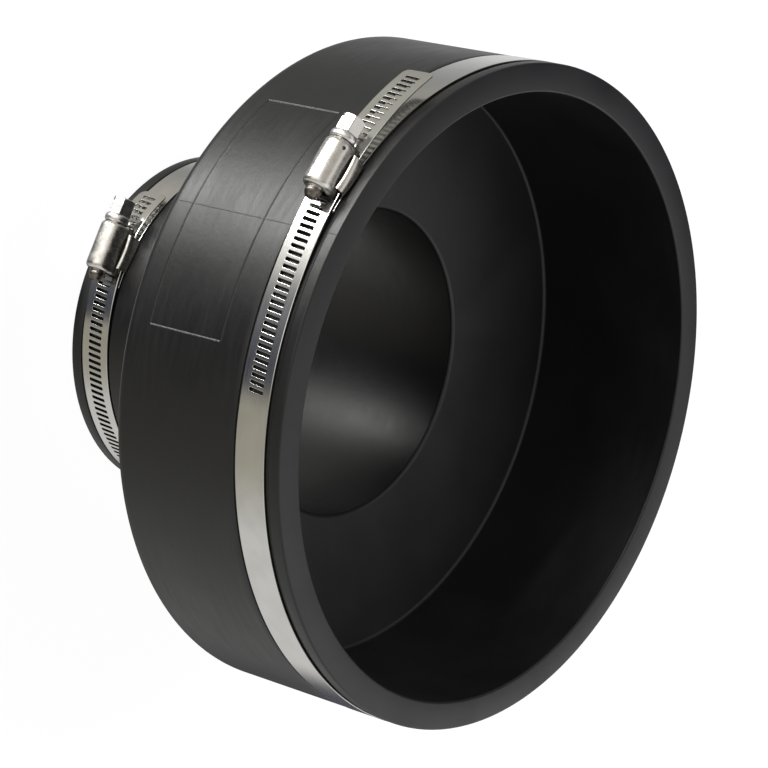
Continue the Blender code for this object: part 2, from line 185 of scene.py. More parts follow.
class Nodes:
    """Short names for the shader nodes that the materials and the world are made of."""

    def __init__(self, tree):
        self.tree = tree

    def add(self, kind, inputs=None, **settings):
        node = self.tree.nodes.new(kind)
        for name, value in settings.items():
            setattr(node, name, value)
        for name, value in (inputs or {}).items():
            self.feed(node.inputs[name], value)
        return node

    def feed(self, socket, value):
        if isinstance(value, bpy.types.NodeSocket):
            self.tree.links.new(value, socket)
        else:
            socket.default_value = value

    def math(self, operation, first, second=0.0, third=0.0):
        node = self.add("ShaderNodeMath", operation=operation)
        for socket, value in zip(node.inputs, (first, second, third)):
            self.feed(socket, value)
        return node.outputs[0]

    def dot(self, vector, direction):
        node = self.add("ShaderNodeVectorMath", operation="DOT_PRODUCT")
        self.feed(node.inputs[0], vector)
        node.inputs[1].default_value = direction
        return node.outputs["Value"]

    def ramp(self, value, low, high, out_low=0.0, out_high=1.0):
        node = self.add("ShaderNodeMapRange", interpolation_type="SMOOTHSTEP")
        for name, number in (("Value", value), ("From Min", low), ("From Max", high),
                             ("To Min", out_low), ("To Max", out_high)):
            self.feed(node.inputs[name], number)
        return node.outputs["Result"]

    def mix(self, factor, first, second):
        node = self.add("ShaderNodeMix", data_type="RGBA")
        self.feed(node.inputs["Factor"], factor)
        self.feed(node.inputs[6], first)
        self.feed(node.inputs[7], second)
        return node.outputs[2]

    def noise(self, vector, scale, detail=3.0, roughness=0.5):
        node = self.add("ShaderNodeTexNoise")
        self.feed(node.inputs["Vector"], vector)
        node.inputs["Scale"].default_value = scale
        node.inputs["Detail"].default_value = detail
        node.inputs["Roughness"].default_value = roughness
        return node.outputs["Fac"]

    def bump(self, height, distance, strength=1.0, normal=None):
        node = self.add("ShaderNodeBump")
        node.inputs["Strength"].default_value = strength
        node.inputs["Distance"].default_value = distance
        self.feed(node.inputs["Height"], height)
        if normal is not None:
            self.feed(node.inputs["Normal"], normal)
        return node.outputs["Normal"]

    def wrapped(self, around, across):
        """Object coordinates unrolled round Z and scaled, so that noise streaks along the strip."""
        place = self.add("ShaderNodeTexCoord").outputs["Object"]
        parts = self.add("ShaderNodeSeparateXYZ", {"Vector": place})
        angle = self.math("ARCTAN2", parts.outputs["Y"], parts.outputs["X"])
        vector = self.add("ShaderNodeCombineXYZ", {
            "X": self.math("MULTIPLY", angle, around),
            "Y": self.math("MULTIPLY", parts.outputs["Z"], across),
        })
        return vector.outputs["Vector"]


def new_material(name):
    material = bpy.data.materials.new(name)
    material.use_nodes = True
    return material, Nodes(material.node_tree), material.node_tree.nodes["Principled BSDF"]


def grey(level):
    return (level, level, level, 1.0)


def make_rubber():
    """Satin black moulding: fine grain, faint flow streaks and a little bloom."""
    material, nodes, shader = new_material("moulded_rubber")
    place = nodes.add("ShaderNodeTexCoord").outputs["Object"]
    cloud = nodes.noise(place, 38.0, 4.0)
    grain = nodes.noise(place, 1900.0, 2.0, 0.6)
    pebble = nodes.noise(place, 420.0, 3.0, 0.55)
    streak = nodes.noise(nodes.wrapped(2.2, 160.0), 3.0, 5.0, 0.6)
    base = nodes.mix(nodes.ramp(cloud, 0.35, 0.7), (0.0135, 0.0136, 0.0142, 1.0),
                     (0.0175, 0.0176, 0.0182, 1.0))
    speck = nodes.ramp(nodes.noise(place, 2600.0, 1.0), 0.74, 0.80, 0.0, 0.6)
    nodes.feed(shader.inputs["Base Color"], nodes.mix(speck, base, grey(0.06)))
    rough = nodes.math("ADD", nodes.ramp(cloud, 0.3, 0.7, 0.36, 0.41),
                       nodes.ramp(streak, 0.35, 0.75, 0.0, 0.06))
    nodes.feed(shader.inputs["Roughness"], rough)
    shader.inputs["Specular IOR Level"].default_value = 0.48
    first = nodes.bump(pebble, 0.00004)
    nodes.feed(shader.inputs["Normal"], nodes.bump(grain, 0.000012, normal=first))
    return material


def finish_steel(nodes, shader, colour, rough):
    """Bright steel, darker and duller where an attribute marks painted shade: in slots and crevices."""
    painted_shade = nodes.add("ShaderNodeAttribute", attribute_name="painted_shade").outputs["Fac"]
    # Painted shade: the marked places take a near-black base colour.
    nodes.feed(shader.inputs["Base Color"], nodes.mix(painted_shade, colour, (0.060, 0.055, 0.045, 1.0)))
    nodes.feed(shader.inputs["Roughness"], nodes.math("MULTIPLY_ADD", painted_shade, 0.25, rough))
    shader.inputs["Metallic"].default_value = 1.0


def make_strip_steel():
    """Rolled stainless strip, with fine lines along its length."""
    material, nodes, shader = new_material("rolled_stainless")
    lines = nodes.noise(nodes.wrapped(7.0, 5200.0), 1.0, 5.0, 0.7)
    place = nodes.add("ShaderNodeTexCoord").outputs["Object"]
    cloud = nodes.noise(place, 90.0, 3.0)
    tint = nodes.mix(nodes.ramp(cloud, 0.3, 0.7), (0.60, 0.59, 0.565, 1.0), (0.66, 0.65, 0.63, 1.0))
    finish_steel(nodes, shader, tint, nodes.ramp(lines, 0.3, 0.7, 0.15, 0.24))
    nodes.feed(shader.inputs["Normal"], nodes.bump(lines, 0.000003))
    return material


def make_stamped_steel():
    """Pressed stainless of the housing and the saddle: brighter, with drawing marks."""
    material, nodes, shader = new_material("stamped_stainless")
    place = nodes.add("ShaderNodeTexCoord").outputs["Object"]
    cloud = nodes.noise(place, 260.0, 4.0, 0.6)
    fine = nodes.noise(place, 2400.0, 3.0, 0.6)
    tint = nodes.mix(nodes.ramp(cloud, 0.35, 0.7), (0.66, 0.635, 0.59, 1.0), (0.76, 0.74, 0.70, 1.0))
    finish_steel(nodes, shader, tint, nodes.ramp(cloud, 0.3, 0.75, 0.22, 0.34))
    first = nodes.bump(cloud, 0.00007)
    nodes.feed(shader.inputs["Normal"], nodes.bump(fine, 0.000012, normal=first))
    return material


def make_screw_steel():
    """Plated screw steel: bright head, a little brown towards the tip."""
    material, nodes, shader = new_material("plated_screw_steel")
    place = nodes.add("ShaderNodeTexCoord").outputs["Object"]
    along = nodes.add("ShaderNodeAttribute", attribute_name="along_screw").outputs["Fac"]
    cloud = nodes.noise(place, 420.0, 4.0, 0.6)
    fine = nodes.noise(place, 2600.0, 2.0)
    bright = nodes.mix(nodes.ramp(cloud, 0.35, 0.7), (0.72, 0.70, 0.69, 1.0), (0.82, 0.80, 0.79, 1.0))
    stain = nodes.ramp(along, BARREL_LENGTH / 2 - MM, BARREL_LENGTH / 2 + MM, 0.0, 0.85)
    nodes.feed(shader.inputs["Base Color"], nodes.mix(stain, bright, (0.075, 0.055, 0.04, 1.0)))
    shader.inputs["Metallic"].default_value = 1.0
    nodes.feed(shader.inputs["Roughness"], nodes.ramp(cloud, 0.3, 0.75, 0.26, 0.38))
    first = nodes.bump(cloud, 0.00005)
    nodes.feed(shader.inputs["Normal"], nodes.bump(fine, 0.00001, normal=first))
    return material


def add_piece(name, bm, material, body, node, matrix=None, sharp_angle=32.0):
    """Makes the mesh object, hides the frame's part that it stands in for, and attaches it to the body
    that it moves with.
    """
    bmesh.ops.recalc_face_normals(bm, faces=bm.faces)
    mesh = bpy.data.meshes.new(name)
    bm.to_mesh(mesh)
    bm.free()
    mesh.shade_smooth()
    mesh.set_sharp_from_angle(angle=math.radians(sharp_angle))
    piece = bpy.data.objects.new(name, mesh)
    bpy.context.scene.collection.objects.link(piece)
    mesh.materials.append(material)
    if matrix is not None:
        mesh.transform(matrix)
    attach(piece, body)
    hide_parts(node)
    return piece


def skin(bm, sections, closed=False):
    """Joins closed sections of equal length into one tube of quads, capped unless it is a ring."""
    rings = [[bm.verts.new(point) for point in section] for section in sections]
    pairs = list(zip(rings, rings[1:]))
    if closed:
        pairs.append((rings[-1], rings[0]))
    else:
        bm.faces.new(rings[0])
        bm.faces.new(rings[-1])
    for ring, following in pairs:
        for i in range(len(ring)):
            j = (i + 1) % len(ring)
            bm.faces.new((ring[i], ring[j], following[j], following[i]))


def arc(centre_r, centre_z, radius, start, end, steps):
    """Points of an arc in the (r, z) plane, with its angles in degrees."""
    points = []
    for i in range(steps + 1):
        angle = math.radians(start + (end - start) * i / steps)
        points.append((centre_r + radius * math.cos(angle), centre_z + radius * math.sin(angle)))
    return points


def crowd(values, marks, scale):
    """Drops the values near each mark and puts a close group round the mark instead."""
    kept = [v for v in values if all(abs(v - mark) > LINE_REACH / scale for mark in marks)]
    for mark in marks:
        for offset in LINE_OFFSETS:
            kept.append(mark - offset / scale)
            if offset > 0.0:
                kept.append(mark + offset / scale)
    return sorted(kept)


def seat_profile(radius, height, top_gap, crown):
    """Clamp seat from top to bottom: a shallow groove with eased edges, the top one crowned."""
    low = height - BAND_WIDTH / 2 - SEAT_SIDE_GAP
    high = height + BAND_WIDTH / 2 + top_gap
    floor = radius - SEAT_DEPTH
    ease = SEAT_EDGE
    top = []
    for i in range(7):
        angle = math.pi / 2 * i / 6
        depth = min(crown, SEAT_DEPTH - ease) * (1.0 - math.cos(angle))
        top.append((radius - depth, high + crown * (1.0 - math.sin(angle))))
    top += [(floor + ease, high - ease / 2), (floor, high - 2 * ease)]
    bottom = [(floor, low + 2 * ease), (floor + ease, low + ease / 2),
              (radius - ease / 3, low - ease / 3), (radius, low - ease)]
    return top + bottom


def sleeve_profile():
    """Closed (r, z) outline of the sleeve's wall, from the small bore up and round."""
    edge = EDGE_RADIUS
    dish = STOP_HEIGHT - STOP_DISH
    profile = arc(SMALL_BORE_RADIUS + edge, edge, edge, 270, 180, 4)
    profile += arc(SMALL_BORE_RADIUS + STOP_FILLET, dish - STOP_FILLET, STOP_FILLET, 180, 90, 8)
    profile += arc(LARGE_BORE_RADIUS - STOP_FILLET, STOP_HEIGHT + STOP_FILLET, STOP_FILLET, 270, 360, 8)
    profile += arc(LARGE_BORE_RADIUS + edge, SLEEVE_HEIGHT - edge, edge, 180, 90, 5)
    profile += arc(LARGE_RADIUS - edge, SLEEVE_HEIGHT - edge, edge, 90, 0, 5)
    profile += seat_profile(LARGE_RADIUS, CLAMPS["large"]["height"], SEAT_MOUTH_GAP, COLLAR_CROWN)
    wall_top = profile[-1][1]
    wall_bottom = SHOULDER_HEIGHT + SHOULDER_RADIUS
    steps = round((wall_top - wall_bottom) / WALL_STEP)
    heights = [wall_bottom + (wall_top - wall_bottom) * i / steps for i in range(1, steps)]
    rib_middle = RIB_WIDTH / 2
    marks = (PANEL_BOTTOM + rib_middle, PANEL_BOTTOM + PANEL_HEIGHT - rib_middle)
    profile += [(LARGE_RADIUS, z) for z in crowd(heights, marks, 1.0)[::-1]]
    profile += arc(LARGE_RADIUS - SHOULDER_RADIUS, wall_bottom, SHOULDER_RADIUS, 0, -90, 14)
    profile += arc(SMALL_RADIUS + NECK_RADIUS, SHOULDER_HEIGHT - NECK_RADIUS, NECK_RADIUS, 90, 180, 8)
    profile += seat_profile(SMALL_RADIUS, CLAMPS["small"]["height"], SEAT_SIDE_GAP, SEAT_EDGE)
    profile += arc(SMALL_RADIUS - edge, edge, edge, 0, -90, 4)
    return profile


def swell(distance, width, height):
    """Rounded cross-section of a raised line."""
    share = abs(distance) / (width / 2)
    return height * (math.cos(math.pi * share) + 1.0) / 2.0 if share < 1.0 else 0.0


def angle_between(first, second):
    """Signed turn from the second angle to the first, under half a turn."""
    return (first - second + math.pi) % TURN - math.pi


def moulded_lines(angle, height):
    """How far the outer wall stands out at a place, for the label border and parting lines."""
    along = abs(angle_between(angle, PANEL_CENTRE)) * LARGE_RADIUS
    across = abs(height - PANEL_BOTTOM - PANEL_HEIGHT / 2)
    out_along = along - (PANEL_SPAN / 2 * LARGE_RADIUS - PANEL_CORNER)
    out_across = across - (PANEL_HEIGHT / 2 - PANEL_CORNER)
    outside = math.hypot(max(out_along, 0.0), max(out_across, 0.0))
    distance = outside + min(max(out_along, out_across), 0.0) - PANEL_CORNER
    raised = swell(distance + RIB_WIDTH / 2, RIB_WIDTH, RIB_HEIGHT)
    for parting in PARTING_ANGLES:
        offset = angle_between(angle, parting) * LARGE_RADIUS
        raised = max(raised, swell(offset, PARTING_WIDTH, PARTING_HEIGHT))
    return raised


def make_sleeve(material):
    """The moulding: its outline turned round Z, with the fine lines raised on the outer wall."""
    profile = sleeve_profile()
    angles = [TURN * i / SLEEVE_STEPS for i in range(SLEEVE_STEPS)]
    rib_angle = RIB_WIDTH / 2 / LARGE_RADIUS
    marks = (PANEL_CENTRE - PANEL_SPAN / 2 + rib_angle, PANEL_CENTRE + PANEL_SPAN / 2 - rib_angle)
    angles = crowd(angles, marks + PARTING_ANGLES, LARGE_RADIUS)
    bm = bmesh.new()
    sections = []
    for angle in angles:
        section = []
        for radius, height in profile:
            on_wall = abs(radius - LARGE_RADIUS) < EDGE_RADIUS / 8
            out = radius + (moulded_lines(angle, height) if on_wall else 0.0)
            section.append((out * math.cos(angle), out * math.sin(angle), height))
        sections.append(section)
    skin(bm, sections, closed=True)
    add_piece("sleeve_moulding", bm, material, "sleeve", "rubber_sleeve")


class Strip:
    """The clamp's strip: its height over the angle from the housing, positive towards the tip."""

    def __init__(self, name):
        clamp = CLAMPS[name]
        self.name = name
        self.inner = clamp["radius"] - SEAT_DEPTH + GAP
        self.lift = clamp["lift"]
        self.lift_angle = math.radians(clamp["lift_angle"])
        self.start = math.radians(clamp["tongue"])
        self.slots_from = math.radians(clamp["slots_from"])
        self.tail = math.radians(clamp["tail"])
        self.tail_rise = clamp["tail_rise"]
        self.pass_radius = self.inner + self.lift
        self.under_screw = self.pass_radius + BAND_THICKNESS
        self.slope = 2.0 * self.lift / self.lift_angle
        self.tilt = math.atan2(self.slope, self.under_screw)
        turn = Matrix.Rotation(math.radians(clamp["housing"]), 4, "Z")
        self.matrix = Matrix.Translation((0.0, 0.0, clamp["height"])) @ turn

    def lapped(self, angle):
        if angle >= self.lift_angle:
            return self.inner
        if angle >= 0.0:
            return self.inner + self.lift * (1.0 - angle / self.lift_angle) ** 2
        bend = (self.slope * self.tail - self.tail_rise) * (angle / self.tail) ** 2
        return self.pass_radius - self.slope * angle - bend

    def point(self, angle, on_lap, face, height):
        radius = (self.lapped(angle) if on_lap else self.inner) + face * BAND_THICKNESS
        return (radius * math.cos(angle), radius * math.sin(angle), height)


# Rounded long edge of the strip, as (share of the thickness, inset from the edge)
STRIP_EDGE = ((0.0, 0.36 * MM), (0.0, 0.20 * MM), (0.14, 0.05 * MM), (0.5, 0.0),
              (0.86, 0.05 * MM), (1.0, 0.20 * MM), (1.0, 0.36 * MM))
HIGH_FACE = len(STRIP_EDGE) - 1
LOW_FACE = len(STRIP_EDGE)


def slot_outline(grow):
    """Slanted slot with rounded corners, grown all round by a little, as (along, across)."""
    corner = SLOT_CORNER + grow
    half_width = SLOT_WIDTH / 2 + grow - corner
    half_length = SLOT_LENGTH / 2 + grow - corner
    outline = []
    for quarter, (side, end) in enumerate(((1, 1), (-1, 1), (-1, -1), (1, -1))):
        for step in range(4):
            angle = math.pi / 2 * (quarter + step / 3)
            along = side * half_width + corner * math.cos(angle)
            across = end * half_length + corner * math.sin(angle)
            outline.append((along - across * SLOT_SLANT, across))
    return outline


def make_band(strip, material):
    """One strip: plain stations round the sleeve, then cells with one slot each, then the tail.

    Every slot's cut wall gets painted shade; in the slots that have passed under the screw it reaches up
    to the rolled edge.
    """
    bm = bmesh.new()
    painted_shade = bm.verts.layers.float.new("painted_shade")
    half = BAND_WIDTH / 2

    def station(angle, on_lap, half_width=half):
        high = [(face, half_width - inset) for face, inset in STRIP_EDGE]
        low = [(face, -across) for face, across in high[::-1]]
        return [bm.verts.new(strip.point(angle, on_lap, face, across)) for face, across in high + low]

    def wall(first, second):
        for i in range(len(first)):
            j = (i + 1) % len(first)
            bm.faces.new((first[i], first[j], second[j], second[i]))

    def slotted_cell(first, middle, second):
        loops = []
        for depth, grow in SLOT_ROLL:
            face = 1.0 - depth / BAND_THICKNESS
            places = [strip.point(middle - along / strip.pass_radius, True, face, across)
                      for along, across in slot_outline(grow)]
            loops.append([bm.verts.new(place) for place in places])
        # Painted shade on the slot's cut wall; in the slots past the screw it starts at the rolled edge.
        shaded_from = SLOT_WALL if middle > 0.0 else SLOT_WALL - 1
        for vert in sum(loops[shaded_from:], []):
            vert[painted_shade] = 1.0
        for high, low, hole in ((HIGH_FACE, LOW_FACE, loops[0]), (0, -1, loops[-1])):
            bm.faces.new((first[low], first[high], hole[7], hole[8]))
            bm.faces.new((second[high], second[low], hole[15], hole[0]))
            bm.faces.new((first[high], second[high], *hole[0:8]))
            bm.faces.new((second[low], first[low], *hole[8:16]))
        for upper, lower in zip(loops, loops[1:]):
            for i in range(len(upper)):
                j = (i + 1) % len(upper)
                bm.faces.new((upper[i], upper[j], lower[j], lower[i]))
        for side in (range(HIGH_FACE), range(LOW_FACE, len(first) - 1)):
            for i in side:
                bm.faces.new((first[i], first[i + 1], second[i + 1], second[i]))

    span = strip.start + TURN - strip.slots_from
    steps = round(span / PLAIN_STEP)
    current = station(strip.start, False)
    bm.faces.new(current)
    for i in range(1, steps + 1):
        following = station(strip.start - span * i / steps, False)
        wall(current, following)
        current = following
    cell = SLOT_PITCH / strip.under_screw
    slotted = strip.slots_from + strip.tail - TAIL_MARGIN / strip.pass_radius
    for i in range(int(slotted / cell)):
        start = strip.slots_from - i * cell
        following = station(start - cell, True)
        slotted_cell(current, start - cell / 2, following)
        current = following
    for i in range(7):
        share = math.sin(math.pi / 2 * i / 6)
        from_end = TAIL_CORNER * (1.0 - share)
        angle = from_end / strip.pass_radius - strip.tail
        if angle > strip.slots_from - int(slotted / cell) * cell:
            continue
        inset = TAIL_CORNER * (1.0 - math.sqrt(1.0 - share ** 2))
        following = station(angle, True, half - inset)
        wall(current, following)
        current = following
    bm.faces.new(current)
    body = strip.name + "_clamp"
    add_piece(strip.name + "_slotted_strip", bm, material, body,
              strip.name + "_band", strip.matrix, sharp_angle=40.0)


def carve(piece, cutter_bm, matrix):
    """Cuts a closed shape out of the piece, placed by the same matrix as the piece was."""
    mesh = bpy.data.meshes.new("cutter")
    bmesh.ops.recalc_face_normals(cutter_bm, faces=cutter_bm.faces)
    cutter_bm.to_mesh(mesh)
    cutter_bm.free()
    mesh.transform(matrix)
    cutter = bpy.data.objects.new("cutter", mesh)
    bpy.context.scene.collection.objects.link(cutter)
    modifier = piece.modifiers.new("cut", "BOOLEAN")
    modifier.object = cutter
    modifier.operation = "DIFFERENCE"
    modifier.solver = "EXACT"
    bpy.context.view_layer.update()
    graph = bpy.context.evaluated_depsgraph_get()
    result = bpy.data.meshes.new_from_object(piece.evaluated_get(graph))
    piece.modifiers.remove(modifier)
    piece.data = result
    bpy.data.objects.remove(cutter, do_unlink=True)


def soften(piece, width):
    """Eases the stamped edges by a small bevel."""
    modifier = piece.modifiers.new("eased edges", "BEVEL")
    modifier.width = width
    modifier.segments = 2
    modifier.limit_method = "ANGLE"
    modifier.angle_limit = math.radians(38.0)
    modifier.harden_normals = True


def housing_section(outer):
    """Stamped housing across the screw, as (x, z): an arch on two legs with turned-out feet."""
    inner = outer - SHEET
    low = FOOT_HEIGHT
    high = FOOT_HEIGHT + SHEET
    leg = [(low, FOOT_TIP), (high, FOOT_TIP), (high, outer + FOOT_BEND),
           (high + FOOT_BEND, outer), (high + SHADE_RISE, outer)]
    outside = list(leg)
    inside = [(low, inner)]
    steps = 32
    for i in range(steps + 1):
        angle = math.pi / 2 - math.pi * i / steps
        outside.append((SCREW_HEIGHT + outer * math.cos(angle), outer * math.sin(angle)))
        inside.append((SCREW_HEIGHT + inner * math.cos(angle), inner * math.sin(angle)))
    outside += [(x, -z) for x, z in leg[::-1]]
    inside.append((low, -inner))
    return outside + inside[::-1]


def make_housing(strip, material):
    """Stamped cover with its necked ends and the small round notch beside the screw's head."""
    half = BARREL_LENGTH / 2
    stations = []
    for i in range(9):
        share = math.sin(math.pi / 2 * i / 8)
        drop = (BARREL_OUTER - BARREL_NECK) * (1.0 - math.sqrt(max(0.0, 1.0 - share ** 2)))
        stations.append((half - BARREL_SHOULDER * (1.0 - share), BARREL_OUTER - drop))
    stations = [(-along, outer) for along, outer in stations[::-1]] + stations
    bm = bmesh.new()
    skin(bm, [[(x, along, z) for x, z in housing_section(outer)] for along, outer in stations])
    # Painted shade on the feet and the bottom of the legs, in the crevice under the saddle's wings,
    # fading out up the legs.
    painted_shade = bm.verts.layers.float.new("painted_shade")
    for vert in bm.verts:
        vert[painted_shade] = min(1.0, max(0.0, 1.0 - (vert.co.x - FOOT_HEIGHT - SHEET) / SHADE_RISE))
    matrix = strip.matrix @ Matrix.Translation((strip.under_screw, 0.0, 0.0))
    matrix = matrix @ Matrix.Rotation(strip.tilt, 4, "Z")
    piece = add_piece(strip.name + "_screw_barrel", bm, material,
                      strip.name + "_clamp", strip.name + "_housing", matrix)
    notch = bmesh.new()
    bmesh.ops.create_cone(notch, cap_ends=True, segments=20, radius1=NOTCH_RADIUS,
                          radius2=NOTCH_RADIUS, depth=NOTCH_DEPTH)
    aim = Vector((math.cos(NOTCH_LEAN), 0.0, math.sin(NOTCH_LEAN)))
    place = aim * BARREL_OUTER + Vector((SCREW_HEIGHT, -half + NOTCH_FROM_END, 0.0))
    turn = Vector((0.0, 0.0, 1.0)).rotation_difference(aim).to_matrix().to_4x4()
    bmesh.ops.transform(notch, matrix=Matrix.Translation(place) @ turn, verts=notch.verts)
    carve(piece, notch, matrix)
    soften(piece, HOUSING_EDGE)


def saddle_section(plate_low, curl_low, tip, bulge):
    """Saddle across the strip, as (x, z): a plate whose sides curl over the housing's feet."""
    inner = BAND_WIDTH / 2 + GAP + bulge
    outer = inner + SHEET
    curl_high = curl_low + SHEET
    side = [(plate_low, outer)]
    for i in range(CURL_STEPS + 1):
        angle = math.pi / 2 * i / CURL_STEPS
        side.append((curl_high - SADDLE_CURL_DROP * (1.0 - math.sin(angle) ** CURL_FULLNESS),
                     tip + (outer - tip) * math.cos(angle) ** CURL_FULLNESS))
    for i in range(7):
        angle = math.pi / 2 * (1 - i / 6)
        side.append((curl_low - (SADDLE_CURL_DROP - SHEET) * (1.0 - math.sin(angle)),
                     tip + (inner - tip) * math.cos(angle)))
    side.append((plate_low + SADDLE_PLATE, inner))
    return side + [(x, -z) for x, z in side[::-1]]


def make_saddle(strip, material):
    """Curved plate between the strip's layers, with bulging wings over the housing's feet."""
    plate_radius = strip.inner + BAND_THICKNESS + GAP
    foot_top = (FOOT_HEIGHT + SHEET + GAP) / math.cos(strip.tilt)
    bm = bmesh.new()
    sections = []
    steps = 20
    for i in range(steps + 1):
        share = 2.0 * i / steps - 1.0
        along = SADDLE_LENGTH / 2 * share
        plate_low = math.sqrt(plate_radius ** 2 - along ** 2)
        curl_low = strip.under_screw + foot_top - along * math.tan(strip.tilt)
        middle = 1.0 - share ** 2
        tip = BARREL_OUTER + GAP + WING_HOLLOW * middle
        section = saddle_section(plate_low, curl_low, tip, WING_BULGE * middle)
        sections.append([(x, along, z) for x, z in section])
    skin(bm, sections)
    # Painted shade from the wing's tip round the inside of its curl and across the plate between the
    # wings.
    painted_shade = bm.verts.layers.float.new("painted_shade")
    count = len(sections[0])
    for number, vert in enumerate(bm.verts):
        from_foot = min(number % count, count - 1 - number % count)
        vert[painted_shade] = 1.0 if from_foot > CURL_STEPS else 0.0
    piece = add_piece(strip.name + "_saddle_plate", bm, material,
                      strip.name + "_clamp", strip.name + "_saddle", strip.matrix)
    soften(piece, SADDLE_EDGE)


def hex_radius(angle):
    """Distance from the screw's axis to the flat of its head, at an angle round the axis."""
    sixth = TURN / 6
    return HEX_ACROSS_FLATS / 2 / math.cos(((angle + HEX_TURN) % sixth) - sixth / 2)


def screw_rings():
    """Rings along the screw, each as (place, circle's radius, thread height, hexagonal or not)."""
    head_start = -(COLLAR_START + COLLAR_LENGTH)
    head_end = head_start - HEX_LENGTH
    rings = []
    for i in range(6):
        share = i / 5
        radius = HEX_ACROSS_FLATS / 2 - HEX_CHAMFER / 2 + HEX_CHAMFER * 1.6 * share
        rings.append((head_end + HEX_CHAMFER * share ** 1.5, radius, 0.0, True))
    rings.append((head_start - 0.5 * MM, 1.0, 0.0, True))
    rings.append((head_start - 0.1 * MM, 1.0, 0.0, True))
    bulge = COLLAR_LENGTH / 2
    for i in range(13):
        angle = math.pi * i / 12
        place = head_start + bulge - bulge * math.cos(angle)
        radius = COLLAR_RADIUS - COLLAR_ROUNDING * (1.0 - math.sin(angle) ** 0.7)
        rings.append((place, radius, 0.0, False))
    rings.append((-COLLAR_START, JOURNAL_RADIUS, 0.0, False))
    worm_half = WORM_LENGTH / 2
    rings.append((-worm_half - GAP, JOURNAL_RADIUS, 0.0, False))
    count = round(WORM_LENGTH / SLOT_PITCH * 12)
    for i in range(count + 1):
        place = -worm_half + WORM_LENGTH * i / count
        rings.append((place, THREAD_RADIUS - THREAD_DEPTH, THREAD_DEPTH, False))
    rings.append((worm_half + GAP, JOURNAL_RADIUS, 0.0, False))
    tip_start = BARREL_LENGTH / 2
    for i in range(25):
        share = i / 24
        radius = (JOURNAL_RADIUS - TIP_RIDGE) * math.sqrt(1.0 - 0.60 * share ** 2)
        rings.append((tip_start + TIP_LENGTH * share, radius, TIP_RIDGE * (1.0 - share ** 3), False))
    rings.append((tip_start + TIP_LENGTH, JOURNAL_RADIUS / 2, 0.0, False))
    return rings


def make_screw(strip, material):
    """Slotted hexagon-head worm screw along its own Z, with its head at the negative end."""
    segments = 72
    bm = bmesh.new()
    sections = []
    for place, radius, ridge, hexagonal in screw_rings():
        section = []
        for i in range(segments):
            angle = TURN * i / segments
            phase = (place / SLOT_PITCH - i / segments) % 1.0
            size = radius + ridge * min(1.0, 2.6 * (0.5 - abs(phase - 0.5)))
            if hexagonal:
                size = min(hex_radius(angle), size)
            section.append((size * math.cos(angle), size * math.sin(angle), place))
        sections.append(section)
    skin(bm, sections)
    along = bm.verts.layers.float.new("along_screw")
    for vert in bm.verts:
        vert[along] = vert.co.z
    out = strip.under_screw + SCREW_HEIGHT * math.cos(strip.tilt)
    lift = Matrix.Translation((out, SCREW_HEIGHT * math.sin(strip.tilt), 0.0))
    matrix = strip.matrix @ lift @ Matrix.Rotation(strip.tilt, 4, "Z")
    matrix = matrix @ Matrix.Rotation(-math.pi / 2, 4, "X")
    piece = add_piece(strip.name + "_worm_screw", bm, material,
                      strip.name + "_screw", strip.name + "_screw", matrix, sharp_angle=26.0)
    slot = bmesh.new()
    bmesh.ops.create_cube(slot, size=1.0)
    bmesh.ops.scale(slot, verts=slot.verts,
                    vec=(2.0 * HEX_ACROSS_FLATS, DRIVER_SLOT_WIDTH, 2.0 * DRIVER_SLOT_DEPTH))
    head_end = -(COLLAR_START + COLLAR_LENGTH + HEX_LENGTH)
    bmesh.ops.translate(slot, verts=slot.verts, vec=Vector((0.0, 0.0, head_end)))
    bmesh.ops.transform(slot, matrix=Matrix.Rotation(-HEX_TURN, 4, "Z"), verts=slot.verts)
    carve(piece, slot, matrix)


def studio_colour(nodes, direction):
    """What shines back from gloss, by direction.

    A pale table below, a dim wall with a pale panel at the left, a bright backdrop behind the
    object and a bright room in front of it.
    """
    up = nodes.dot(direction, CAMERA_UP)
    behind = nodes.dot(direction, CAMERA_FORWARD)
    right = nodes.dot(direction, CAMERA_RIGHT)
    table = nodes.mix(nodes.ramp(up, -0.60, -0.28), (0.78, 0.78, 0.77, 1.0), (0.44, 0.425, 0.355, 1.0))
    far_table = nodes.mix(nodes.ramp(up, -0.29, -0.17), (1.15, 1.15, 1.17, 1.0), (0.07, 0.07, 0.08, 1.0))
    table = nodes.mix(nodes.ramp(right, 0.3, 0.8), table, far_table)
    # A painted shadow of the object on the table: dark in the gloss that looks far down and away from
    # the camera.
    table = nodes.mix(nodes.ramp(behind, 0.76, 0.88), table, (0.07, 0.07, 0.09, 1.0))
    wall = nodes.mix(nodes.ramp(up, 0.05, 0.62), (0.050, 0.055, 0.082, 1.0), (0.25, 0.26, 0.27, 1.0))
    wall = nodes.mix(nodes.ramp(up, 0.70, 0.86), wall, (0.50, 0.49, 0.44, 1.0))
    panel = nodes.math("MULTIPLY", nodes.ramp(right, -0.66, -0.76), nodes.ramp(up, 0.43, 0.55))
    wall = nodes.mix(panel, wall, (0.97, 0.96, 0.93, 1.0))
    front = nodes.ramp(behind, -0.32, -0.62)
    facing = nodes.mix(nodes.ramp(right, -0.15, 0.40), (1.15, 1.12, 1.08, 1.0),
                       (0.52, 0.50, 0.47, 1.0))
    wall = nodes.mix(front, wall, facing)
    room = nodes.mix(nodes.ramp(behind, 0.60, 1.0), wall, grey(0.84))
    around = nodes.mix(nodes.ramp(up, -0.02, 0.02), table, room)
    aside = nodes.math("MULTIPLY", nodes.ramp(right, 0.78, 0.93), nodes.ramp(behind, 0.0, -0.22))
    return nodes.mix(aside, around, (0.95, 0.93, 0.89, 1.0))


